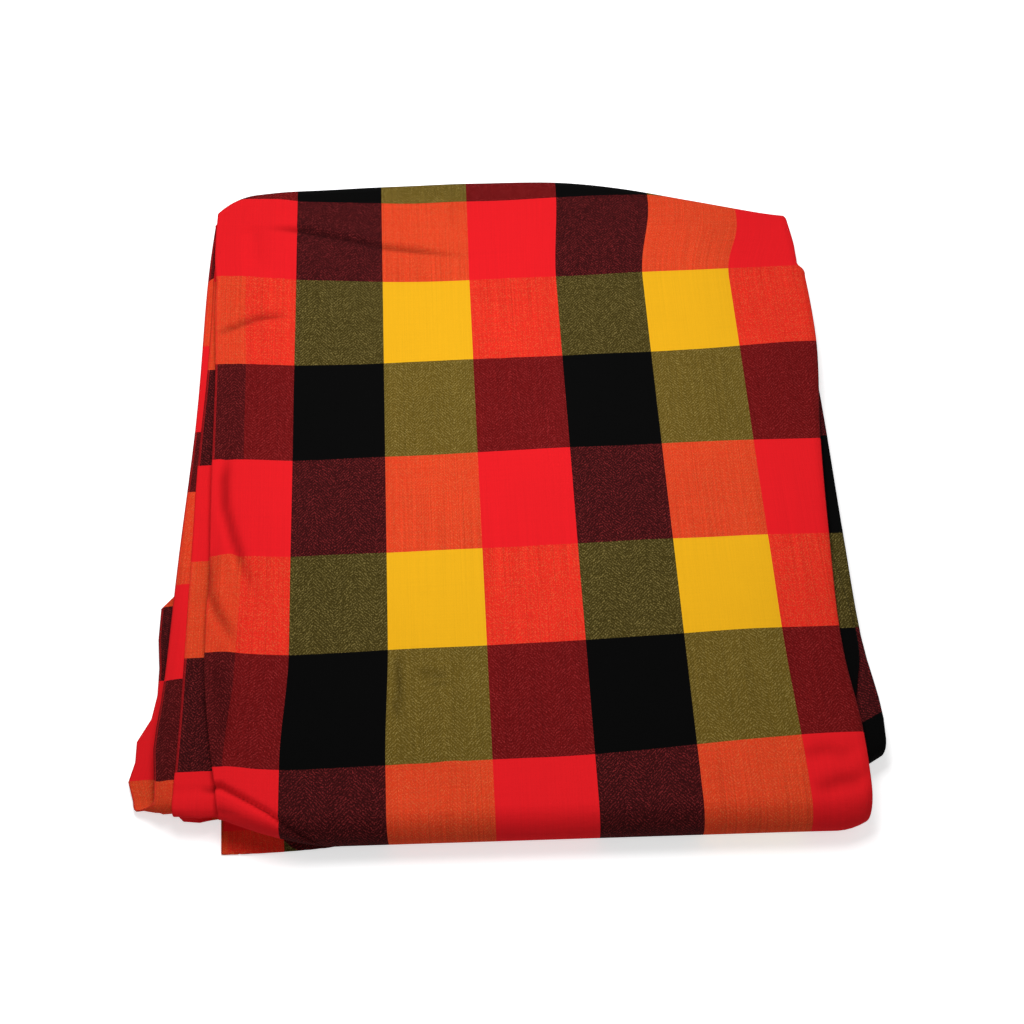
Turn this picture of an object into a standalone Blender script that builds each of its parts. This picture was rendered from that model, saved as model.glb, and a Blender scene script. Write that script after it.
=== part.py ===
"""A checked cotton blanket, folded in four across and in four along, lying flat.

One sheet. Across, it goes back and forth in four plies. That bundle of plies is then
folded along its length: half over half, and half again. Metres, +Z up, back is +Y.
"""
import math

import bpy
import numpy as np

# The sheet and how closely its plies lie
SHEET_THICK = 0.0011
PLY_STEP = 0.0019
BUNDLE_STEP = 0.0078
BUNDLE_REACH = 1.5 * PLY_STEP + SHEET_THICK / 2
FLOOR_DROP = BUNDLE_STEP / 2 - BUNDLE_REACH

# Where the length turns back on itself, as the y of each turn's centre
FRONT_TURN_Y = -0.206
BACK_TURN_Y = 0.2165
INNER_TURN_Y = -0.193
BOTTOM_END_Y = 0.203
INNER_END_Y = 0.207
OUTER_RADIUS = 1.5 * BUNDLE_STEP
TIGHT_RADIUS = 0.5 * BUNDLE_STEP

# Runs of the length, in order: name, y it starts at, y it ends at, height in bundles
RUNS = (
    ("bottom", BOTTOM_END_Y, FRONT_TURN_Y, 0.5),
    ("top", FRONT_TURN_Y, BACK_TURN_Y, 3.5),
    ("second", BACK_TURN_Y, INNER_TURN_Y, 2.5),
    ("third", INNER_TURN_Y, INNER_END_Y, 1.5),
)

# Turns between the runs: radius, and which way the upper face of the first ply bends
TURNS = (
    (OUTER_RADIUS, 1.0),
    (TIGHT_RADIUS, 1.0),
    (TIGHT_RADIUS, -1.0),
)

# Millimetres from the middle line to each edge and fold, along each run:
# run, y, near selvedge, right fold, left fold, tail fold, far selvedge
EDGES = (
    ("bottom", 200, -178, 180, -174, 186, -190),
    ("bottom", -150, -174, 180, -174, 186, -192),
    ("bottom", -196, -170, 178, -172, 180, -190),
    ("top", -200, -167, 180, -172, 181, -195),
    ("top", -172, -172, 181, -174, 183, -194),
    ("top", -131, -179, 179, -176, 188, -193),
    ("top", -50, -180, 182, -177, 182, -192),
    ("top", 15, -181, 187, -178, 183, -191),
    ("top", 85, -182, 195, -179, 186, -188),
    ("top", 190, -186, 193, -180, 188, -186),
    ("second", 190, -184, 188, -180, 190, -190),
    ("second", 42, -183, 186, -179, 193, -194),
    ("second", -50, -182, 184, -178, 192, -199),
    ("second", -121, -181, 184, -178, 192, -203),
    ("second", -172, -180, 184, -178, 196, -208),
    ("third", -180, -182, 184, -178, 193, -227),
    ("third", -140, -182, 184, -178, 191, -218),
    ("third", -100, -182, 184, -178, 190, -211),
    ("third", -60, -182, 184, -178, 190, -206),
    ("third", -30, -182, 184, -178, 190, -192),
    ("third", 200, -182, 184, -178, 190, -190),
)

# How finely the sheet is divided
PASS_STEPS = 12
LEFT_CROWDING = 1.4
FOLD_STEPS = 4
RUN_STEPS = 11
OUTER_TURN_STEPS = 10
TIGHT_TURN_STEPS = 6

# Softness of the pack, in metres: how far corners and edges are drawn in and down
BACK_LEFT_ROUND = 0.040
BACK_RIGHT_PULL = 0.036
FRONT_ROUND = 0.009
FRONT_LEFT_STEP = 0.008
FRONT_RIGHT_STEP = 0.012
FRONT_SKEW = 0.022
EDGE_SAG = 0.10
BACK_RIGHT_SAG = 0.22
TAIL_SAG = 0.62

# Buckle at the front left corner of the outer turn. Each fold runs from the left edge and
# fades out: distance round the turn at the left, the same at the far end, depth, half width
BUCKLE_LEFT_X = -0.168
BUCKLE_FAR_X = -0.105
BUCKLE_END = 0.029
BUCKLE_FOLDS = (
    (-0.010, 0.014, -0.0042, 0.0080),
    (0.002, 0.022, 0.0016, 0.0060),
    (0.014, 0.030, -0.0052, 0.0080),
    (0.025, 0.027, 0.0014, 0.0060),
)

# Middle of the pack before it is set over the origin
PACK_MIDDLE = (-0.0137, -0.0002)

CLOTH_COLOR = (0.62, 0.035, 0.03, 1.0)


def clear_scene():
    for item in list(bpy.data.objects):
        bpy.data.objects.remove(item, do_unlink=True)


def ease(value, start, end):
    """Smooth 0 to 1 as value goes from start to end."""
    t = np.clip((value - start) / (end - start), 0.0, 1.0)
    return t * t * (3.0 - 2.0 * t)


def hump(value, half_width):
    """1 at zero, falling smoothly to 0 at half_width either side."""
    t = np.clip(np.abs(value) / half_width, 0.0, 1.0)
    return (1.0 - t * t) ** 2


def smooth_through(at, known_at, known):
    """Curve through the known values, without sharp bends between them."""
    slope = np.gradient(known, known_at)
    index = np.clip(np.searchsorted(known_at, at) - 1, 0, len(known_at) - 2)
    span = known_at[index + 1] - known_at[index]
    t = np.clip((at - known_at[index]) / span, 0.0, 1.0)
    rise = known[index + 1] - known[index]
    start_bend = slope[index] * span - rise
    end_bend = rise - slope[index + 1] * span
    return known[index] + rise * t + t * (1 - t) * ((1 - t) * start_bend + t * end_bend)


def run_starts():
    """Length along the middle of the bundle at which each run starts."""
    starts = [0.0]
    for run, turn in zip(RUNS, TURNS):
        starts.append(starts[-1] + abs(run[2] - run[1]) + math.pi * turn[0])
    return starts


def path_stations():
    """Stations along the bundle: y, z, direction the first ply faces, and length."""
    starts = run_starts()
    stations = []
    for number, (name, y_from, y_to, level) in enumerate(RUNS):
        height = level * BUNDLE_STEP - FLOOR_DROP
        facing = 1.0 if y_to > y_from else -1.0
        for step in range(RUN_STEPS + 1):
            y = y_from + (y_to - y_from) * step / RUN_STEPS
            stations.append((y, height, 0.0, facing, starts[number] + abs(y - y_from)))
        if number == len(TURNS):
            break
        radius, outward = TURNS[number]
        next_height = RUNS[number + 1][3] * BUNDLE_STEP - FLOOR_DROP
        middle = (height + next_height) / 2
        toward = -1.0 if y_to < y_from else 1.0
        rising = 1.0 if next_height > height else -1.0
        steps = OUTER_TURN_STEPS if radius == OUTER_RADIUS else TIGHT_TURN_STEPS
        turn_start = starts[number] + abs(y_to - y_from)
        for step in range(1, steps):
            angle = math.pi * step / steps
            out_y = toward * math.sin(angle)
            out_z = -rising * math.cos(angle)
            stations.append((
                y_to + radius * out_y,
                middle + radius * out_z,
                outward * out_y,
                outward * out_z,
                turn_start + radius * angle,
            ))
    return np.array(stations)


def edge_columns(lengths):
    """Edges and folds of the bundle, in metres, at each length along it."""
    starts = run_starts()
    names = [run[0] for run in RUNS]
    known_at = []
    for row in EDGES:
        number = names.index(row[0])
        known_at.append(starts[number] + abs(row[1] / 1000 - RUNS[number][1]))
    known = np.array([row[2:] for row in EDGES]) / 1000
    columns = [smooth_through(lengths, np.array(known_at), known[:, n]) for n in range(5)]
    return np.stack(columns, axis=1)


def section(near, right, left, tail, far):
    """One cut across the bundle: x, and height above its middle."""
    curl = PLY_STEP / 2
    passes = (
        (near, right - curl, 1.5),
        (right - curl, left + curl, 0.5),
        (left + curl, tail - curl, -0.5),
        (tail - curl, far, -1.5),
    )
    points = []
    for number, (x_from, x_to, level) in enumerate(passes):
        side = 1.0 if x_to > x_from else -1.0
        for step in range(PASS_STEPS + 1):
            from_left = step / PASS_STEPS if side > 0 else 1.0 - step / PASS_STEPS
            share = from_left ** LEFT_CROWDING
            x = min(x_from, x_to) + abs(x_to - x_from) * share
            points.append((x, level * PLY_STEP))
        if number == len(passes) - 1:
            break
        for step in range(1, FOLD_STEPS):
            angle = math.pi * step / FOLD_STEPS
            height = (level - 0.5) * PLY_STEP + curl * math.cos(angle)
            points.append((x_to + side * curl * math.sin(angle), height))
    return np.array(points)


def buckle(x, round_turn):
    """How far the outer turn is pushed out or in along its own facing direction."""
    fade = 1.0 - ease(x, BUCKLE_LEFT_X + 0.010, BUCKLE_FAR_X)
    fade = fade * (1.0 - ease(round_turn, BUCKLE_END - 0.008, BUCKLE_END))
    share = np.clip((x - BUCKLE_LEFT_X) / (BUCKLE_FAR_X - BUCKLE_LEFT_X), 0.0, 1.0)
    push = np.zeros_like(x)
    for at_left, at_far, depth, half_width in BUCKLE_FOLDS:
        centre = at_left + (at_far - at_left) * share
        push += depth * hump(round_turn - centre, half_width)
    return push * fade


def settle(points):
    """Draw in the corners and let the edges of the pack sink, keeping the plies apart."""
    x, y, z = points[..., 0], points[..., 1], points[..., 2]
    left_corner = np.clip((-0.160 - x) / 0.034, 0.0, 1.0)
    rounding = BACK_LEFT_ROUND * (1.0 - np.sqrt(1.0 - 0.96 * left_corner ** 2))
    pull = BACK_RIGHT_PULL * ease(x, 0.0, 0.240)
    at_back = ease(y, 0.120, 0.222)
    at_front = ease(-y, 0.100, 0.205)
    front_corner = FRONT_ROUND * np.clip((x - 0.162) / 0.024, 0.0, 1.0) ** 2
    front_corner = front_corner + FRONT_LEFT_STEP * ease(-x, 0.174, 0.194)
    front_corner = front_corner + FRONT_RIGHT_STEP * ease(x, 0.180, 0.196)
    moved_y = y - at_back * (rounding + pull) + at_front * (front_corner - FRONT_SKEW * x)
    sag = EDGE_SAG * (ease(-x, 0.135, 0.188) + ease(x, 0.125, 0.192))
    sag = sag + BACK_RIGHT_SAG * ease(x, 0.060, 0.200) * ease(y, 0.110, 0.215)
    sag = sag + TAIL_SAG * ease(-x, 0.194, 0.226)
    lowest = SHEET_THICK / 2
    moved_z = lowest + (z - lowest) * (1.0 - sag)
    return np.stack([x - PACK_MIDDLE[0], moved_y - PACK_MIDDLE[1], moved_z], axis=-1)


def sheet_points():
    """Middle of the folded sheet, as a grid of points along and across it."""
    stations = path_stations()
    columns = edge_columns(stations[:, 4])
    turn_from = run_starts()[1]
    rows = []
    for (y, z, facing_y, facing_z, length), edges in zip(stations, columns):
        cut = section(*edges)
        above = cut[:, 1] + buckle(cut[:, 0], turn_from - length)
        rows.append(np.stack([cut[:, 0], y + facing_y * above, z + facing_z * above], axis=-1))
    return settle(np.array(rows))


def folded_sheet():
    """Flat grid whose points are carried to their places in the folds, then given thickness."""
    places = sheet_points()
    along, across = places.shape[:2]
    bpy.ops.mesh.primitive_grid_add(x_subdivisions=across - 1, y_subdivisions=along - 1, size=1.0)
    sheet = bpy.context.object
    sheet.name = sheet.data.name = "shuka"
    sheet.data.vertices.foreach_set("co", places.reshape(-1))
    sheet.data.update()
    thickness = sheet.modifiers.new("thickness", "SOLIDIFY")
    thickness.thickness = SHEET_THICK
    thickness.offset = 0.0
    thickness.use_even_offset = True
    return sheet


def cloth_material():
    material = bpy.data.materials.new("checked_cotton")
    material.use_nodes = True
    shader = material.node_tree.nodes["Principled BSDF"]
    shader.inputs["Base Color"].default_value = CLOTH_COLOR
    shader.inputs["Roughness"].default_value = 0.9
    return material


def build():
    clear_scene()
    collection = bpy.data.collections.new("folded_shuka_blanket")
    bpy.context.scene.collection.children.link(collection)
    sheet = folded_sheet()
    sheet.data.materials.append(cloth_material())
    for home in list(sheet.users_collection):
        home.objects.unlink(sheet)
    collection.objects.link(sheet)


build()
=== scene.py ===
"""Looks of the folded shuka: one sheet of checked herringbone cotton, folded into a pack."""
import math

import bpy
import numpy as np
from mathutils import Matrix


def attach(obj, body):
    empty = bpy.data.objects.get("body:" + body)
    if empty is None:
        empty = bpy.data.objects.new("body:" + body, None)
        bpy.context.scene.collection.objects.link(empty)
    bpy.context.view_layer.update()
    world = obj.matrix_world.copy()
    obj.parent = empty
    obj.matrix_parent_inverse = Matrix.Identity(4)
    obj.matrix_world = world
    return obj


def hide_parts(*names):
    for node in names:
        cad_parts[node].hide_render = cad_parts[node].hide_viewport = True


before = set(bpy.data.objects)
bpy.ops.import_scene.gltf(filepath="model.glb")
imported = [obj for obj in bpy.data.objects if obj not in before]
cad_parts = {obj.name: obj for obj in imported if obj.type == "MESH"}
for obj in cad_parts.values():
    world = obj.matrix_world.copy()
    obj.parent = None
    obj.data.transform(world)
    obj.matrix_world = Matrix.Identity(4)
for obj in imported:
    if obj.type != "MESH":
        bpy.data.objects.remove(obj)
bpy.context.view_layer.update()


# The blanket's folds. The real piece is one length of twill cotton, hand folded in four
# across and then in four along. The sheet is laid through those folds here, ply by ply,
# with the same sizes as the part that it dresses.
CLOTH_THICK = 0.0009
PLY_STEP = 0.0019
BUNDLE_STEP = 0.0078
LOWEST_PLY = 0.00055
OUTER_RADIUS = 1.5 * BUNDLE_STEP
TIGHT_RADIUS = 0.5 * BUNDLE_STEP
FLOOR_DROP = BUNDLE_STEP / 2 - 1.5 * PLY_STEP - LOWEST_PLY

FRONT_TURN_Y = -0.206
BACK_TURN_Y = 0.2165
INNER_TURN_Y = -0.193
BOTTOM_END_Y = 0.203
INNER_END_Y = 0.207

# Runs of the length: name, y it starts at, y it ends at, height in bundles, steps, and how
# far the steps crowd towards both its ends, from 0 to 1
RUNS = (
    ("bottom", BOTTOM_END_Y, FRONT_TURN_Y, 0.5, 6, 0.0),
    ("top", FRONT_TURN_Y, BACK_TURN_Y, 3.5, 174, 0.5),
    ("second", BACK_TURN_Y, INNER_TURN_Y, 2.5, 23, 0.2),
    ("third", INNER_TURN_Y, INNER_END_Y, 1.5, 23, 0.3),
)

# Turns between the runs: radius, which way the first ply's upper face bends, steps
TURNS = (
    (OUTER_RADIUS, 1.0, 42),
    (TIGHT_RADIUS, 1.0, 9),
    (TIGHT_RADIUS, -1.0, 8),
)

# Millimetres from the middle line to each edge and fold, along each run:
# run, y, near selvedge, right fold, left fold, tail fold, far selvedge
EDGES = (
    ("bottom", 200, -178, 180, -174, 186, -190),
    ("bottom", -150, -174, 180, -174, 186, -192),
    ("bottom", -196, -172, 178, -168, 180, -190),
    ("top", -200, -170, 182, -166, 177, -195),
    ("top", -172, -174, 182, -171, 178, -194),
    ("top", -131, -179, 179, -176, 188, -193),
    ("top", -50, -180, 182, -177, 182, -192),
    ("top", 15, -181, 187, -178, 183, -191),
    ("top", 85, -182, 195, -179, 186, -188),
    ("top", 136, -184, 195.5, -180, 187, -187),
    ("top", 146, -184, 195.5, -180, 187, -187),
    ("top", 154, -184, 192.5, -180, 187, -187),
    ("top", 164, -185, 192.5, -180, 187, -187),
    ("top", 190, -186, 193, -180, 188, -186),
    ("second", 190, -184, 188, -180, 190, -190),
    ("second", 42, -183, 186, -179, 193, -194),
    ("second", -50, -182, 184, -178, 192, -200),
    ("second", -121, -181, 184, -178, 192, -204),
    ("second", -172, -180, 184, -178, 196, -208),
    ("second", -190, -180, 184, -178, 196, -206),
    ("second", -196, -181, 184, -178, 195, -208),
    ("second", -200, -181, 184, -178, 194, -217),
    ("third", -191, -182, 184, -178, 193, -221),
    ("third", -182, -182, 184, -178, 192, -224),
    ("third", -172, -182, 184, -178, 192, -221),
    ("third", -156, -182, 184, -178, 191, -221),
    ("third", -138, -182, 184, -178, 191, -212),
    ("third", -116, -182, 184, -178, 190, -210),
    ("third", -74, -182, 184, -178, 190, -211),
    ("third", -62, -182, 184, -178, 190, -208),
    ("third", -55, -182, 184, -178, 190, -193),
    ("third", -44, -182, 184, -178, 190, -190),
    ("third", 200, -182, 184, -178, 190, -190),
)

# The plies of the bundle: height in plies above its middle, steps across, and how far the
# steps crowd towards the left
PASSES = (
    (1.5, 112, 1.25),
    (0.5, 10, 2.0),
    (-0.5, 10, 2.0),
    (-1.5, 22, 1.9),
)
FOLD_STEPS = 5


def ease(value, start, end):
    """Smooth 0 to 1 as value goes from start to end."""
    t = np.clip((value - start) / (end - start), 0.0, 1.0)
    return t * t * (3.0 - 2.0 * t)


def eased(x, y, terms):
    """Sum of amounts, each let in over ranges of metres to one side of the middle."""
    toward = {"left": -x, "right": x, "front": -y, "back": y}
    total = 0.0
    for amount, *ranges in terms:
        for side, start, end in ranges:
            amount = amount * ease(toward[side], start, end)
        total = total + amount
    return total


def hump(value, half_width):
    """1 at zero, falling smoothly to 0 at half_width either side."""
    t = np.clip(np.abs(value) / half_width, 0.0, 1.0)
    return (1.0 - t * t) ** 2


def smooth_through(at, known_at, known):
    """Curve through the known values, without sharp bends between them."""
    slope = np.gradient(known, known_at)
    index = np.clip(np.searchsorted(known_at, at) - 1, 0, len(known_at) - 2)
    span = known_at[index + 1] - known_at[index]
    t = np.clip((at - known_at[index]) / span, 0.0, 1.0)
    rise = known[index + 1] - known[index]
    start_bend = slope[index] * span - rise
    end_bend = rise - slope[index + 1] * span
    return known[index] + rise * t + t * (1 - t) * ((1 - t) * start_bend + t * end_bend)


def run_starts():
    """Length along the middle of the bundle at which each run starts."""
    starts = [0.0]
    for run, turn in zip(RUNS, TURNS):
        starts.append(starts[-1] + abs(run[2] - run[1]) + math.pi * turn[0])
    return starts


def path_stations():
    """Stations along the bundle: y, z, direction the first ply faces, length, run number."""
    starts = run_starts()
    stations = []
    for number, (_, y_from, y_to, level, steps, crowding) in enumerate(RUNS):
        height = level * BUNDLE_STEP - FLOOR_DROP
        facing = 1.0 if y_to > y_from else -1.0
        for step in range(steps + 1):
            share = step / steps
            share = share - crowding * math.sin(math.tau * share) / math.tau
            y = y_from + (y_to - y_from) * share
            stations.append((y, height, 0.0, facing, starts[number] + abs(y - y_from), number))
        if number == len(TURNS):
            break
        radius, outward, turn_steps = TURNS[number]
        next_height = RUNS[number + 1][3] * BUNDLE_STEP - FLOOR_DROP
        middle = (height + next_height) / 2
        toward = -1.0 if y_to < y_from else 1.0
        rising = 1.0 if next_height > height else -1.0
        turn_start = starts[number] + abs(y_to - y_from)
        for step in range(1, turn_steps):
            angle = math.pi * step / turn_steps
            out_y = toward * math.sin(angle)
            out_z = -rising * math.cos(angle)
            stations.append((
                y_to + radius * out_y,
                middle + radius * out_z,
                outward * out_y,
                outward * out_z,
                turn_start + radius * angle,
                number + 0.5,
            ))
    return np.array(stations)


def edge_columns(lengths):
    """Edges and folds of the bundle, in metres, at each length along it."""
    starts = run_starts()
    names = [run[0] for run in RUNS]
    known_at = []
    for row in EDGES:
        number = names.index(row[0])
        known_at.append(starts[number] + abs(row[1] / 1000 - RUNS[number][1]))
    known = np.array([row[2:] for row in EDGES]) / 1000
    columns = [smooth_through(lengths, np.array(known_at), known[:, n]) for n in range(5)]
    return np.stack(columns, axis=1)


def section(near, right, left, tail, far):
    """One cut across the bundle: x, height above its middle, and the ply's number."""
    curl = PLY_STEP / 2
    ends = (near, right - curl, left + curl, tail - curl, far)
    points = []
    for number, (level, steps, crowding) in enumerate(PASSES):
        x_from, x_to = ends[number], ends[number + 1]
        side = 1.0 if x_to > x_from else -1.0
        for step in range(steps + 1):
            from_left = step / steps if side > 0 else 1.0 - step / steps
            x = min(x_from, x_to) + abs(x_to - x_from) * from_left ** crowding
            points.append((x, level * PLY_STEP, number))
        if number == len(PASSES) - 1:
            break
        for step in range(1, FOLD_STEPS):
            angle = math.pi * step / FOLD_STEPS
            height = (level - 0.5) * PLY_STEP + curl * math.cos(angle)
            points.append((x_to + side * curl * math.sin(angle), height, number + 0.5))
    return np.array(points)


# The front left corner, where the outer turn has slumped back from its place. The top ply
# creases, rolls over below the crease, drops, and spreads as a flap on the surface. All of
# it narrows to a point further along the turn, and the rows are for its left end.
CORNER_X = -0.168
CORNER_END_X = -0.102
CORNER_END = 24.0
CREASE_AT = -16.0
CREASE_DEPTH = 2.6
CREASE_HALF = 3.2
CREASE_FULL_SIZE = 0.35
LEAST_SIZE = 0.03
MOST_LOST = 0.97
INNER_PLY_SINK = 0.0009
INNER_PLY_MORE = 0.12
INNER_PLY_CREASE_LESS = 0.28

# Amounts that eased adds up. Each row is an amount, and the ranges over which it comes in:
# the side of the pack that it grows towards, and two distances from the middle.
SLUMP_SHARE = ((1.0,), (-0.35, ("left", 0.172, 0.184)))
CREASE_SHARE = ((1.0,), (-1.0, ("left", 0.172, 0.180)))
INNER_TURN_BACK = (
    (0.0065, ("left", 0.105, 0.130), ("front", 0.150, 0.188)),
    (-0.0065, ("left", 0.170, 0.178), ("front", 0.150, 0.188)),
)

# Millimetres round the turn from where it leaves the top, how far the top ply and the plies
# inside it move back there, and the share of their height that they keep
SLUMPED = (
    (-20.0, 0.0, 0.0, 1.0),
    (-16.0, 0.0, 0.0, 0.97),
    (-10.5, -0.2, 0.0, 1.0),
    (-5.0, 0.3, 0.3, 0.96),
    (-1.0, 1.8, 1.8, 0.86),
    (3.0, 4.0, 5.0, 0.76),
    (6.0, 8.0, 9.0, 0.66),
    (9.0, 13.5, 14.0, 0.54),
    (12.0, 18.0, 18.5, 0.42),
    (15.0, 19.0, 20.0, 0.30),
    (18.0, 15.5, 19.5, 0.21),
    (22.0, 9.0, 18.0, 0.17),
    (26.0, 1.5, 14.5, 0.17),
    (30.0, -6.0, 10.5, 0.22),
    (32.0, -7.8, 8.5, 0.45),
    (37.0, -7.0, 5.0, 1.0),
    (47.0, 0.0, 0.0, 1.0),
)


def slump(x, round_turn, ply, height):
    """How far the front turn moves back and up where it has slumped, and where it creases, which
    also gives that crease its painted shade.
    """
    size = 1.0 - np.clip((x - CORNER_X) / (CORNER_END_X - CORNER_X), 0.0, 1.0)
    at = CORNER_END + (round_turn * 1000 - CORNER_END) / np.maximum(size, LEAST_SIZE)
    known = np.array(SLUMPED)
    moves = [smooth_through(at, known[:, 0], known[:, n]) * size / 1000 for n in (1, 2)]
    back = moves[0] + (moves[1] - moves[0]) * ease(ply, 0.0, 1.0)
    lost = (1.0 - smooth_through(at, known[:, 0], known[:, 3])) * size
    lost = np.clip(lost * (1.0 + INNER_PLY_MORE * ply), 0.0, MOST_LOST)
    share = eased(x, 0.0, SLUMP_SHARE)
    creased = hump(at - CREASE_AT, CREASE_HALF) * ease(size, 0.0, CREASE_FULL_SIZE)
    creased = creased * eased(x, 0.0, CREASE_SHARE)
    dip = CREASE_DEPTH / 1000 * creased * (1.0 - INNER_PLY_CREASE_LESS * ply)
    # The crease share is returned as well, as painted shade that darkens the crease's colour
    return back * share, -lost * height * share - dip, creased


# Creases pressed into the top panel by folding and storing. Each runs through the points
# given in millimetres, with its depth, its half width, and the height of the soft roll
# that stands beside it, on the left of its direction where that is positive.
CREASES = (
    (((-158, 191), (-130, 187), (-104, 179), (-77, 170), (-46, 164), (-14, 158)), 1.6, 2.3, 0.7),
    (((-164, 196), (-161, 178), (-157, 152)), 1.8, 7.0, 0.4),
    (((-186, 108), (-164, 117), (-153, 120), (-134, 120)), 1.5, 2.3, 0.6),
    (((-171, 26), (-173, 2), (-172, -15), (-166, -37), (-160, -55), (-150, -80)), 1.8, 2.8, -1.9),
    (((-180, -40), (-179, -71), (-174, -83), (-158, -112)), 1.6, 2.8, -1.3),
    (((-176, -110), (-170, -140), (-166, -176)), 1.4, 4.0, 0.6),
    (((-71, -114), (-71, -138), (-73, -160)), 1.4, 2.1, -0.6),
    (((-62, -127), (-50, -130), (-41, -129)), 0.9, 1.8, 0.4),
    (((-56, -135), (-47, -136), (-40, -135)), 0.9, 1.8, -0.4),
    (((-20, 118), (-18, 96), (-19, 70)), 0.5, 5.0, 0.0),
    (((-5, 88), (-3, 66), (-6, 48)), 0.5, 5.0, 0.0),
    (((146, -186), (160, -182), (178, -188)), 1.2, 4.0, 0.7),
    (((150, -205), (166, -199), (182, -202)), 1.4, 4.0, 0.8),
)

# Shares of its length over which a crease comes in, and after which it fades out
CREASE_COMES_IN = 0.22
CREASE_FADES_FROM = 0.70

# Where the roll beside a crease is highest and where it ends, in the crease's half widths
ROLL_TOP = 1.8
ROLL_END = 5.5

# Millimetres of depth at which a crease gets its full painted shade, which darkens its colour, and
# the half widths between which that painted shade stops
CREASE_SHADE_FULL_DEPTH = 1.5
CREASE_SHADE_HALF_WIDTHS = (2.4, 5.2)

# Fine upright puckers by the left edge, in millimetres, with a radian of their waves
PUCKER_HEIGHT = 0.22
PUCKER_RADIAN = 1.35
PUCKER_SWAY = 0.8
PUCKER_SWAY_RADIAN = 23.0
PUCKER_MIDDLE = (-160.0, 112.0)
PUCKER_REACH = (34.0, 62.0)

# Soft waves over the whole panel: length in millimetres along x and y, turn, height
WAVES = (
    (164.0, 310.0, 0.4, 0.34),
    (-97.0, 143.0, 2.1, 0.20),
    (61.0, -205.0, 4.4, 0.13),
    (290.0, -118.0, 1.2, 0.22),
)


def along_line(x, y, points):
    """Signed distance in millimetres from a crease's line, and the share along it."""
    nearest = np.full(x.shape, np.inf)
    signed = np.zeros(x.shape)
    share = np.zeros(x.shape)
    count = len(points) - 1
    for number in range(count):
        (x0, y0), (x1, y1) = points[number], points[number + 1]
        reach = math.hypot(x1 - x0, y1 - y0)
        raw = ((x - x0) * (x1 - x0) + (y - y0) * (y1 - y0)) / reach ** 2
        t = np.clip(raw, 0.0, 1.0)
        distance = np.hypot(x - x0 - t * (x1 - x0), y - y0 - t * (y1 - y0))
        side = np.sign((x1 - x0) * (y - y0) - (y1 - y0) * (x - x0))
        closer = distance < nearest
        nearest = np.where(closer, distance, nearest)
        signed = np.where(closer, side * distance, signed)
        share = np.where(closer, (number + t) / count, share)
    return signed, share


def top_relief(x, y):
    """Height of the creases and of the waves over the top panel, and the painted shade that darkens
    its narrow creases.
    """
    x_mm, y_mm = x * 1000, y * 1000
    height = np.zeros(x.shape)
    crease_shade = np.zeros(x.shape)
    for points, depth, half_width, roll in CREASES:
        offset, share = along_line(x_mm, y_mm, points)
        fade = ease(share, 0.0, CREASE_COMES_IN) * (1.0 - ease(share, CREASE_FADES_FROM, 1.0))
        dip = depth * np.exp(-(offset / half_width) ** 2) * fade
        height -= dip
        narrow = 1.0 - ease(half_width, *CREASE_SHADE_HALF_WIDTHS)
        # Painted shade: deeper, narrower creases get a darker colour
        crease_shade = np.maximum(crease_shade, dip / CREASE_SHADE_FULL_DEPTH * narrow)
        beside = offset * math.copysign(1.0, roll) / half_width
        stands = ease(beside, 0.0, ROLL_TOP) * (1.0 - ease(beside, ROLL_TOP, ROLL_END))
        height += abs(roll) * stands * fade
    sway = PUCKER_SWAY * np.sin(y_mm / PUCKER_SWAY_RADIAN)
    pucker = PUCKER_HEIGHT * np.sin(x_mm / PUCKER_RADIAN + sway)
    pucker = pucker * hump(x_mm - PUCKER_MIDDLE[0], PUCKER_REACH[0])
    height += pucker * hump(y_mm - PUCKER_MIDDLE[1], PUCKER_REACH[1])
    waves = np.zeros(x.shape)
    for length_x, length_y, turn, wave in WAVES:
        waves += wave * np.sin(math.tau * (x_mm / length_x + y_mm / length_y) + turn)
    return height / 1000, waves / 1000, np.minimum(crease_shade, 1.0)


# How the pack settles. Its back left and front right corners are round, its back right
# corner is drawn forwards, the plies step back at the front corners, and the edges sag.
BACK_LEFT_ROUND = 0.040
BACK_LEFT_FROM = -0.160
BACK_LEFT_REACH = 0.034
BACK_LEFT_FULL = 0.96
FRONT_RIGHT_ROUND = 0.009
FRONT_RIGHT_FROM = 0.162
FRONT_RIGHT_REACH = 0.024
FRONT_SKEW = 0.022
AT_BACK = ("back", 0.120, 0.222)
AT_FRONT = ("front", 0.100, 0.205)
CORNER_MOVES = (
    (-0.036, ("right", 0.0, 0.240), AT_BACK),
    (0.005, ("left", 0.174, 0.194), ("front", 0.197, 0.214), AT_FRONT),
    (0.0035, ("left", 0.204, 0.209), AT_FRONT),
    (0.012, ("right", 0.180, 0.196), AT_FRONT),
)
SAGS = (
    (0.10, ("left", 0.135, 0.188)),
    (0.10, ("right", 0.125, 0.192)),
    (0.22, ("right", 0.060, 0.200), ("back", 0.110, 0.215)),
    (0.62, ("left", 0.194, 0.226)),
)
PACK_MIDDLE = (-0.0137, -0.0002)


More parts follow.
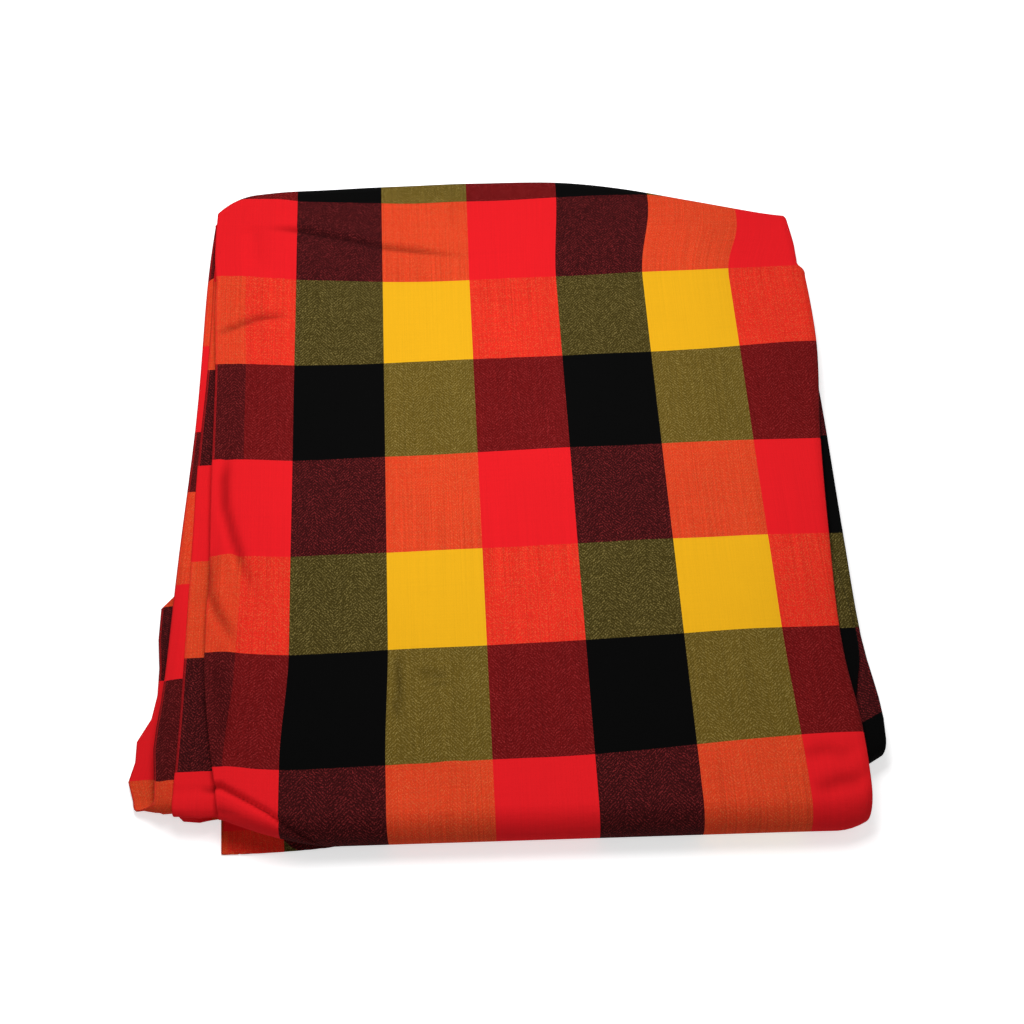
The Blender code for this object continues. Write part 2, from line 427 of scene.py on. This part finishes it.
def settle(points):
    """Draw in the corners and let the edges of the pack sink, keeping the plies apart."""
    x, y, z = points[..., 0], points[..., 1], points[..., 2]
    left = np.clip((BACK_LEFT_FROM - x) / BACK_LEFT_REACH, 0.0, 1.0)
    left_round = BACK_LEFT_ROUND * (1.0 - np.sqrt(1.0 - BACK_LEFT_FULL * left ** 2))
    right = np.clip((x - FRONT_RIGHT_FROM) / FRONT_RIGHT_REACH, 0.0, 1.0)
    right_round = FRONT_RIGHT_ROUND * right ** 2
    moved_y = y + eased(x, y, CORNER_MOVES) - left_round * ease(y, *AT_BACK[1:])
    moved_y = moved_y + (right_round - FRONT_SKEW * x) * ease(-y, *AT_FRONT[1:])
    moved_z = LOWEST_PLY + (z - LOWEST_PLY) * (1.0 - eased(x, y, SAGS))
    return np.stack([x - PACK_MIDDLE[0], moved_y - PACK_MIDDLE[1], moved_z], axis=-1)


# Lengths before the top run and before its end over which its relief comes in and goes
CALM_AT_FRONT = 0.020
CALM_AT_BACK = 0.012


def sheet_points():
    """Middle of the folded sheet, its stations and cuts, and the painted shade that darkens its
    creases.
    """
    stations = path_stations()
    columns = edge_columns(stations[:, 4])
    top_from, second_from = run_starts()[1:3]
    rows = []
    cuts = []
    painted_crease_shade = []
    for (y, z, facing_y, facing_z, length, run), edges in zip(stations, columns):
        cut = section(*edges)
        x, above, ply = cut.T
        height = z + facing_z * above - LOWEST_PLY - PLY_STEP * ply
        back, up, crease_shade = slump(x, top_from - length, ply, height)
        if run >= 2.0:
            back = back + eased(x, y, INNER_TURN_BACK)
        if run in (0.5, 1.0, 1.5):
            flat_y = np.full(len(cut), y if run != 0.5 else FRONT_TURN_Y - (top_from - length))
            calm = ease(length, top_from - CALM_AT_FRONT, top_from)
            calm = calm * (1.0 - ease(length, second_from - CALM_AT_BACK, second_from))
            creased, waved, relief_crease_shade = top_relief(x, flat_y)
            inside = ease(ply, 0.0, 1.0)
            above = above + (waved + creased * (1.0 - inside) - INNER_PLY_SINK * inside) * calm
            crease_shade = np.maximum(crease_shade, relief_crease_shade * calm)
        rows.append(np.stack([x, y + facing_y * above + back, z + facing_z * above + up], axis=-1))
        cuts.append(cut)
        painted_crease_shade.append(crease_shade)
    return settle(np.array(rows)), stations, np.array(cuts), np.array(painted_crease_shade)


# Where the checks fall. The cloth is measured along its own threads, from the near
# selvedge across and from the panel's middle along, so that the checks bend with it.
# Lengths taken up out of sight, inside the pack, set how the lower plies' rows fall.
CLOTH_WIDE = 1.472
PANEL_START = 0.179
GATHERED_OVER = (0.014, 0.046)
PULLED_OVER = (0.014, 0.028)
SECOND_PLACED_BY = 0.060

# Amounts that eased adds up, as for the corner: how the stripes lean, how far the rows bow
# towards the back, what is pulled under the front turn, and the length along the cloth at
# the middle of the second and the third run, with what is tucked away at their left
STRIPE_LEANS = (
    (0.004, ("left", 0.030, 0.120), ("front", 0.110, 0.180)),
    (0.0035, ("left", 0.135, 0.165), ("front", 0.060, 0.170)),
    (-0.012, ("right", -0.050, 0.160), ("back", 0.135, 0.215)),
    (-0.003, ("right", 0.080, 0.180), ("front", 0.100, 0.200)),
)
ROW_BOWS = (
    (-0.0018,),
    (0.0095, ("left", 0.035, 0.175), ("back", 0.050, 0.165)),
    (0.0050, ("left", 0.125, 0.182)),
    (0.0060, ("right", 0.010, 0.185), ("front", 0.050, 0.185)),
    (0.0040, ("right", 0.120, 0.190), ("back", 0.000, 0.090)),
)
PULLED_UNDER = (
    (0.023, ("left", 0.130, 0.150)),
    (0.009, ("right", 0.030, 0.070)),
)
AT_LEFT = ("left", 0.100, 0.170)
SECOND_RUN = (
    (0.417,),
    (0.023, AT_LEFT),
    (0.026, AT_LEFT, ("front", -0.035, -0.005)),
    (0.010, AT_LEFT, ("front", 0.060, 0.180)),
)
THIRD_RUN = (
    (0.815,),
    (0.105, AT_LEFT),
    (-0.020, AT_LEFT, ("front", 0.075, 0.100)),
)


def across_threads(x, y, run, cuts):
    """Place of every point across the flat cloth, from the near selvedge."""
    steps = np.linalg.norm(np.diff(cuts[..., :2], axis=1), axis=2)
    across = np.pad(np.cumsum(steps, axis=1), ((0, 0), (1, 0)))
    second_ply = np.where(cuts[0, :, 2] == 1.0)[0]
    hidden = ease(across, across[:, second_ply[:1]], across[:, second_ply[-1:]])
    past_selvedge = x[:, :1] + PANEL_START
    gathered = np.minimum(past_selvedge, 0.0) * ease(across, *GATHERED_OVER)
    leaning = eased(x, y, STRIPE_LEANS) * (run <= 1.5)
    on_first = np.maximum(past_selvedge, 0.0) + gathered + leaning
    on_last = CLOTH_WIDE - across[:, -1:]
    return across + on_first + (on_last - on_first) * hidden


def along_threads(x, y, run, length, points):
    """Place of every point along the flat cloth, from the middle of the top panel."""
    steps = np.linalg.norm(np.diff(points[..., 1:], axis=0), axis=2)
    along = np.pad(np.cumsum(steps, axis=0), ((1, 0), (0, 0)))
    on_top = np.where(run[:, 0] == 1.0)[0]
    middle = on_top[np.argmin(np.abs(y[on_top, 0]))]
    along = along - along[middle] + y[middle, 0]
    along = along - eased(x, y, ROW_BOWS) * (run <= 1.5)
    starts = run_starts()
    past_front = ease(starts[1] - length, *PULLED_OVER)
    along = along - eased(x, y, PULLED_UNDER) * past_front

    second = eased(x, y, SECOND_RUN) - y
    placed = (run >= 2.0) * ease(BACK_TURN_Y - y, 0.0, SECOND_PLACED_BY)
    along = along + (second - along) * placed
    third = eased(x, y, THIRD_RUN) + y
    turn_start = eased(x, INNER_TURN_Y, SECOND_RUN) - INNER_TURN_Y
    turn_end = eased(x, INNER_TURN_Y, THIRD_RUN) + INNER_TURN_Y
    round_turn = (length - starts[3]) / (math.pi * TIGHT_RADIUS) + 1.0
    turning = turn_start + (turn_end - turn_start) * round_turn
    return np.where(run == 2.5, turning, np.where(run == 3.0, third, along))


def folded_blanket():
    """The sheet as a closed mesh, with the flat cloth's measures as its UV map."""
    points, stations, cuts, painted_crease_shade = sheet_points()
    x = cuts[..., 0]
    y, length, run = (stations[:, column, None] for column in (0, 4, 5))
    across = across_threads(x, y, run, cuts)
    along = along_threads(x, y, run, length, points)
    rows, columns = across.shape
    bpy.ops.mesh.primitive_grid_add(x_subdivisions=columns - 1, y_subdivisions=rows - 1, size=1.0)
    sheet = bpy.context.object
    sheet.name = sheet.data.name = "blanket"
    sheet.data.vertices.foreach_set("co", points.reshape(-1))
    corner_points = np.zeros(len(sheet.data.loops), dtype=np.int32)
    sheet.data.loops.foreach_get("vertex_index", corner_points)
    measures = np.stack([across.reshape(-1), along.reshape(-1)], axis=1)
    cloth_map = sheet.data.uv_layers[0]
    cloth_map.name = "cloth"
    cloth_map.data.foreach_set("uv", measures[corner_points].reshape(-1))
    # Painted shade for the creases, which the material uses to darken their colour
    sheet.data.attributes.new("painted_crease_shade", "FLOAT", "POINT").data.foreach_set(
        "value", painted_crease_shade.reshape(-1).astype(np.float32)
    )
    sheet.data.update()
    face_count = len(sheet.data.polygons)

    thickness = sheet.modifiers.new("thickness", "SOLIDIFY")
    thickness.thickness = CLOTH_THICK
    thickness.offset = 0.0
    view = bpy.context.evaluated_depsgraph_get()
    solid = bpy.data.meshes.new_from_object(sheet.evaluated_get(view))
    sheet.modifiers.clear()
    sheet.data = solid
    solid.name = "blanket"
    wrong_side = np.zeros(len(solid.polygons), dtype=np.float32)
    wrong_side[face_count:2 * face_count] = 1.0
    solid.attributes.new("wrong_side", "FLOAT", "FACE").data.foreach_set("value", wrong_side)
    solid.shade_smooth()
    return sheet


blanket = folded_blanket()


# The blanket's yarns and weave. Red, yellow and black cotton, dyed before weaving, in a
# herringbone twill whose floats show more of the lengthwise yarn on the right side. A
# dense band runs down each selvedge, with a doubled red yarn at its very edge.
STRIPE_WIDTHS = (0.0556, 0.0556, 0.0556)
STRIPE_START = -0.0089
ROW_DEPTHS = (0.0645, 0.0670, 0.0611)
ROW_START = 0.142
FAR_BORDER = 0.036
SELVEDGE = 0.019
SELVEDGE_TURNED = 0.75
SELVEDGE_CORD = 0.0014
CORD_RED = 0.28

# Yarns by number, of which red is 0, and how each pair of them looks woven together: by the
# lengthwise yarn, then by the crosswise yarn
BLACK, YELLOW = 1.0, 2.0
WOVEN = (
    ("EA1D24", "6B0F10", "E62A1D"),
    ("380D0F", "060606", "423814"),
    ("DF401F", "66531C", "F0B21B"),
)
YARNS = ("D8484A", "120D0C", "D9C272")


def linear(hex_color):
    """A colour written as in a paint chart, as the light it reflects."""
    parts = [int(hex_color[n:n + 2], 16) / 255 for n in (0, 2, 4)]
    return tuple(((c + 0.055) / 1.055) ** 2.4 if c > 0.04045 else c / 12.92 for c in parts) + (1.0,)


class Nodes:
    """Short calls for laying out a node tree."""

    def __init__(self, tree):
        self.tree = tree

    def add(self, kind, **settings):
        node = self.tree.nodes.new(kind)
        for name, value in settings.items():
            setattr(node, name, value)
        return node

    def link(self, source, target):
        if isinstance(source, (int, float, tuple)):
            target.default_value = source
        else:
            self.tree.links.new(source, target)

    def use(self, group, *values):
        """Outputs of a shader group that takes these values."""
        node = self.add("ShaderNodeGroup", node_tree=group)
        for socket, value in zip(node.inputs, values):
            self.link(value, socket)
        return node.outputs

    def marked(self, name):
        """The mesh's own mask of this name."""
        node = self.add("ShaderNodeAttribute", attribute_type="GEOMETRY", attribute_name=name)
        return node.outputs["Fac"]

    def math(self, operation, first, second=0.0, third=0.0):
        node = self.add("ShaderNodeMath", operation=operation)
        for socket, value in zip(node.inputs, (first, second, third)):
            self.link(value, socket)
        return node.outputs[0]

    def same(self, first, second):
        """1 where two yarns' numbers are the same, and 0 elsewhere."""
        return self.math("COMPARE", first, second, 0.1)

    def weighted(self, *parts):
        """Sum of the parts, each a value and its weight."""
        total = 0.0
        for value, weight in parts:
            total = self.math("MULTIPLY_ADD", value, weight, total)
        return total

    def mix(self, share, first, second):
        node = self.add("ShaderNodeMix", data_type="RGBA")
        self.link(share, node.inputs[0])
        self.link(first, node.inputs[6])
        self.link(second, node.inputs[7])
        return node.outputs[2]

    def between(self, share, first, second):
        node = self.add("ShaderNodeMix", data_type="FLOAT")
        self.link(share, node.inputs[0])
        self.link(first, node.inputs[2])
        self.link(second, node.inputs[3])
        return node.outputs[0]

    def steps(self, position, colors):
        """One of three flat colours, by a position of 0, 1 or 2."""
        ramp = self.add("ShaderNodeValToRGB")
        ramp.color_ramp.interpolation = "CONSTANT"
        ramp.color_ramp.elements[1].position = 1 / 3
        ramp.color_ramp.elements.new(2 / 3)
        for element, color in zip(ramp.color_ramp.elements, colors):
            element.color = linear(color)
        self.link(self.math("DIVIDE", self.math("ADD", position, 0.5), 3.0), ramp.inputs[0])
        return ramp.outputs[0]

    def noise(self, vector, scale, detail=2.0):
        node = self.add("ShaderNodeTexNoise", noise_dimensions="2D")
        self.link(vector, node.inputs["Vector"])
        node.inputs["Scale"].default_value = scale
        node.inputs["Detail"].default_value = detail
        return node.outputs[0]

    def place(self, first, second):
        node = self.add("ShaderNodeCombineXYZ")
        self.link(first, node.inputs[0])
        self.link(second, node.inputs[1])
        return node.outputs[0]


def new_group(name, takes, gives):
    """An empty shader group with number inputs, and its outputs by name and kind."""
    group = bpy.data.node_groups.new(name, "ShaderNodeTree")
    for label, value in takes.items():
        socket = group.interface.new_socket(label, in_out="INPUT", socket_type="NodeSocketFloat")
        socket.default_value = value
    for label, kind in gives.items():
        group.interface.new_socket(label, in_out="OUTPUT", socket_type=kind)
    nodes = Nodes(group)
    return group, nodes, nodes.add("NodeGroupInput").outputs, nodes.add("NodeGroupOutput").inputs


def stripe_group():
    """Which of the three yarns a stripe is, from the distance across the stripes."""
    group, n, taken, given = new_group(
        "yarn stripes",
        {"Distance": 0.0, "First": 0.0, "Red": 0.05, "Black": 0.05, "Yellow": 0.05},
        {"Yarn": "NodeSocketFloat"},
    )
    red_and_black = n.math("ADD", taken[2], taken[3])
    repeat = n.math("ADD", red_and_black, taken[4])
    into = n.math("FLOORED_MODULO", n.math("SUBTRACT", taken[0], taken[1]), repeat)
    past_red = n.math("GREATER_THAN", into, taken[2])
    past_black = n.math("GREATER_THAN", into, red_and_black)
    n.link(n.math("ADD", past_red, past_black), given[0])
    return group


# Twill of yarns half a millimetre thick: yarns in half a herringbone, in a repeat of its
# diagonal and in the float over it, how far they sway, how ragged the floats' ends are, and
# how round a yarn is, with the height that this leaves on average
THREAD = 0.0005
CHEVRON = 24.0
TWILL_REPEAT = 4.0
TWILL_OVER = 1.5
SWAY = 1.6
SWAY_SCALE = 45.0
RAGGED = 5.0
RAGGED_SCALE = 520.0
THREAD_ROUND = 3.2
MEAN_HEIGHT = 0.733
FLECK_POWER = 2.0

# How far apart in the noise the shades of two neighbouring yarns are
SHADES_APART = 0.73


def thread_group():
    """Unevenness of single yarns: a shade for each, drifting slowly along its length."""
    group, n, taken, given = new_group(
        "yarn unevenness",
        {"Across Threads": 0.0, "Along Threads": 0.0, "Drift": 30.0},
        {"Shade": "NodeSocketFloat"},
    )
    counted = n.math("FLOOR", n.math("DIVIDE", taken[0], THREAD))
    apart = n.math("MULTIPLY", counted, SHADES_APART)
    spot = n.place(apart, n.math("MULTIPLY", taken[1], taken[2]))
    n.link(n.noise(spot, 1.0), given[0])
    return group


def weave_group():
    """Herringbone floats: which yarn lies on top, and the height of the cloth there."""
    group, n, taken, given = new_group(
        "herringbone weave",
        {"Across": 0.0, "Along": 0.0},
        {
            "Lengthwise On Top": "NodeSocketFloat",
            "Height": "NodeSocketFloat",
            "Fleck": "NodeSocketFloat",
        },
    )
    spot = n.place(taken[0], taken[1])
    centred = n.math("SUBTRACT", n.noise(spot, SWAY_SCALE, detail=3.0), 0.5)
    sway = n.math("MULTIPLY", centred, SWAY)
    warp = n.math("ADD", n.math("DIVIDE", taken[0], THREAD), sway)
    weft = n.math("ADD", n.math("DIVIDE", taken[1], THREAD), sway)
    counted = n.math("FLOOR", warp)
    wrapped = n.math("SUBTRACT", n.math("FLOORED_MODULO", counted, 2.0 * CHEVRON), CHEVRON)
    ragged = n.math("MULTIPLY", n.noise(spot, RAGGED_SCALE), RAGGED)
    ragged_weft = n.math("FLOOR", n.math("ADD", weft, ragged))
    slant = n.math("ADD", n.math("ABSOLUTE", wrapped), ragged_weft)
    on_top = n.math("LESS_THAN", n.math("FLOORED_MODULO", slant, TWILL_REPEAT), TWILL_OVER)
    rounded = []
    for thread in (warp, weft):
        offset = n.math("SUBTRACT", n.math("FRACT", thread), 0.5)
        fall = n.math("MULTIPLY", n.math("MULTIPLY", offset, offset), THREAD_ROUND)
        rounded.append(n.math("SUBTRACT", 1.0, fall))
    n.link(on_top, given[0])
    n.link(n.between(on_top, rounded[1], rounded[0]), given[1])
    chance = n.add("ShaderNodeTexWhiteNoise", noise_dimensions="2D")
    n.link(n.place(counted, n.math("FLOOR", weft)), chance.inputs["Vector"])
    n.link(n.math("POWER", chance.outputs[0], FLECK_POWER), given[2])
    return group


# How much of the single yarns shows: specks in a mixed check without and with black, the
# drift of a yarn's shade along it, the weights of the shades and of the lift that they
# give, how strongly they and the painted shade between the rounded yarns show in a mixed
# check and in a plain one, and how much the painted shade in the creases darkens the colour
SPECKS = (0.15, 0.28)
DRIFTS = (11.0, 20.0)
PATCH_SCALE = 26.0
SHADE_WEIGHTS = (0.50, 0.22, 0.14)
SHADE_SHOWS = (0.9, 0.22)
CREASE_SHADE_DARKENS = 0.42
LIFT_WEIGHTS = (1.2, 0.8)


def woven_colour(n, warp, weft, turned):
    """Colour of two yarns woven together, on the right side of the cloth or turned."""
    looks = []
    for lead, other in ((warp, weft), (weft, warp)):
        reds, blacks, yellows = (n.steps(other, colors) for colors in WOVEN)
        mixed = n.mix(n.same(lead, BLACK), reds, blacks)
        looks.append(n.mix(n.same(lead, YELLOW), mixed, yellows))
    return n.mix(turned, looks[0], looks[1])


def checked_cotton():
    """The cloth: the colour of the woven yarns, their specks and shades, painted shade on the
    rounded yarns and in the creases, and the twill's bump.
    """
    material = bpy.data.materials.new("checked_cotton")
    material.use_nodes = True
    n = Nodes(material.node_tree)
    shader = material.node_tree.nodes["Principled BSDF"]

    cloth_map = n.add("ShaderNodeUVMap", uv_map="cloth")
    split = n.add("ShaderNodeSeparateXYZ")
    n.link(cloth_map.outputs[0], split.inputs[0])
    across, along = split.outputs[0], split.outputs[1]

    stripes = stripe_group()
    inside_border = n.math("LESS_THAN", across, CLOTH_WIDE - FAR_BORDER)
    striped = n.use(stripes, across, STRIPE_START, *STRIPE_WIDTHS)[0]
    warp = n.math("MULTIPLY", striped, inside_border)
    weft = n.use(stripes, along, ROW_START, *ROW_DEPTHS)[0]

    from_edge = n.math("MINIMUM", across, n.math("SUBTRACT", CLOTH_WIDE, across))
    in_band = n.math("MULTIPLY", n.math("LESS_THAN", from_edge, SELVEDGE), SELVEDGE_TURNED)
    in_cord = n.math("LESS_THAN", from_edge, SELVEDGE_CORD)
    turned = n.math("MAXIMUM", n.marked("wrong_side"), in_band)
    woven = woven_colour(n, warp, weft, turned)

    on_top, height, fleck = n.use(weave_group(), across, along)
    top_yarn = n.mix(on_top, n.steps(weft, YARNS), n.steps(warp, YARNS))
    plain = n.same(warp, weft)
    one_black = n.math("MAXIMUM", n.same(warp, BLACK), n.same(weft, BLACK))
    mixed = n.math("SUBTRACT", 1.0, plain)
    speck_share = n.math("MULTIPLY", n.between(one_black, *SPECKS), mixed)
    speckled = n.mix(n.math("MULTIPLY", speck_share, fleck), woven, top_yarn)
    corded = n.mix(n.math("MULTIPLY", in_cord, CORD_RED), speckled, linear(WOVEN[0][0]))

    threads = thread_group()
    shades = []
    for first, second, drift in ((across, along, DRIFTS[0]), (along, across, DRIFTS[1])):
        shades.append(n.math("SUBTRACT", n.use(threads, first, second, drift)[0], 0.5))
    patchy = n.noise(cloth_map.outputs[0], PATCH_SCALE, detail=3.0)
    shades.append(n.math("SUBTRACT", patchy, 0.5))
    # Painted shade: the colour darkens towards the sides of each rounded yarn, where the yarns meet
    painted_yarn_shade = n.math("SUBTRACT", height, MEAN_HEIGHT)
    shade = n.weighted(*zip(shades, SHADE_WEIGHTS), (painted_yarn_shade, 1.0))
    shade = n.math("MULTIPLY_ADD", shade, n.between(plain, *SHADE_SHOWS), 1.0)
    # Painted shade: the creases' colour is made darker
    crease_shaded = n.math("SUBTRACT", 1.0, n.math("MULTIPLY", n.marked("painted_crease_shade"), CREASE_SHADE_DARKENS))
    shade = n.math("MULTIPLY", shade, crease_shaded)
    tone = n.add("ShaderNodeVectorMath", operation="SCALE")
    n.link(corded, tone.inputs[0])
    n.link(shade, tone.inputs["Scale"])
    n.link(tone.outputs[0], shader.inputs["Base Color"])

    bump = n.add("ShaderNodeBump")
    bump.inputs["Strength"].default_value = 0.5
    bump.inputs["Distance"].default_value = 0.00016
    n.link(n.weighted((height, 1.0), *zip(shades, LIFT_WEIGHTS)), bump.inputs["Height"])
    n.link(bump.outputs[0], shader.inputs["Normal"])
    shader.inputs["Roughness"].default_value = 0.92
    shader.inputs["Specular IOR Level"].default_value = 0.05
    shader.inputs["Sheen Weight"].default_value = 0.005
    shader.inputs["Sheen Roughness"].default_value = 0.5
    return material


blanket.data.materials.clear()
blanket.data.materials.append(checked_cotton())
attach(blanket, "root")
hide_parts("shuka")


# The floor. A plain pale surface, matt, well wider than the view. It glows for the camera
# alone, so that it looks white without lighting the cloth from below.
FLOOR_HALF = 3.0
FLOOR_PALE = (0.96, 0.96, 0.96, 1.0)
FLOOR_GLOW = 0.58

bpy.ops.mesh.primitive_plane_add(size=2 * FLOOR_HALF)
floor = bpy.context.object
floor.name = "floor"
floor_paint = bpy.data.materials.new("pale_floor")
floor_paint.use_nodes = True
floor_nodes = Nodes(floor_paint.node_tree)
floor_shader = floor_paint.node_tree.nodes["Principled BSDF"]
floor_shader.inputs["Base Color"].default_value = FLOOR_PALE
floor_shader.inputs["Roughness"].default_value = 0.9
floor_shader.inputs["Emission Color"].default_value = (1.0, 1.0, 1.0, 1.0)
seen = floor_nodes.add("ShaderNodeLightPath").outputs["Is Camera Ray"]
floor_nodes.link(
    floor_nodes.math("MULTIPLY", seen, FLOOR_GLOW), floor_shader.inputs["Emission Strength"]
)
floor.data.materials.append(floor_paint)


# The light. An even pale room, a soft lamp close above the pack that leaves its corners a
# little darker, and one behind it, so that the shadow falls softly towards the front.
ROOM_LIGHT = 0.25
LAMPS = (
    ("lamp above", (-0.02, 0.04, 0.60), 0.28, 2.35),
    ("lamp behind", (-0.10, 0.80, 0.75), 0.40, 3.2),
)


def lamp(name, place, size, power):
    """A square area lamp that faces the pack."""
    light = bpy.data.lights.new(name, "AREA")
    light.size = size
    light.energy = power
    holder = bpy.data.objects.new(name, light)
    bpy.context.scene.collection.objects.link(holder)
    holder.location = place
    holder.rotation_euler = (-holder.location).to_track_quat("-Z", "Y").to_euler()
    holder.visible_camera = False


for name, place, size, power in LAMPS:
    lamp(name, place, size, power)

room = bpy.data.worlds.new("pale room")
room.use_nodes = True
room.node_tree.nodes["Background"].inputs["Color"].default_value = (1.0, 1.0, 1.0, 1.0)
room.node_tree.nodes["Background"].inputs["Strength"].default_value = ROOM_LIGHT
bpy.context.scene.world = room
bpy.context.scene.view_settings.view_transform = "Standard"


# The camera. It looks down at the pack from the front, turned a little to its left.
CAMERA_PLACE = (-0.0062, -0.4367, 0.7966)
CAMERA_DOWN = 62.0
CAMERA_TURN = -2.43
CAMERA_ROLL = -0.67
CAMERA_LENS = 51.87

camera = bpy.data.objects.new("camera", bpy.data.cameras.new("camera"))
bpy.context.scene.collection.objects.link(camera)
camera.data.lens = CAMERA_LENS
camera.data.sensor_width = 36.0
camera.location = CAMERA_PLACE
turned = Matrix.Rotation(math.radians(CAMERA_TURN), 3, "Z")
tilted = Matrix.Rotation(math.radians(90.0 - CAMERA_DOWN), 3, "X")
rolled = Matrix.Rotation(math.radians(CAMERA_ROLL), 3, "Z")
camera.rotation_euler = (turned @ tilted @ rolled).to_euler()
bpy.context.scene.camera = camera
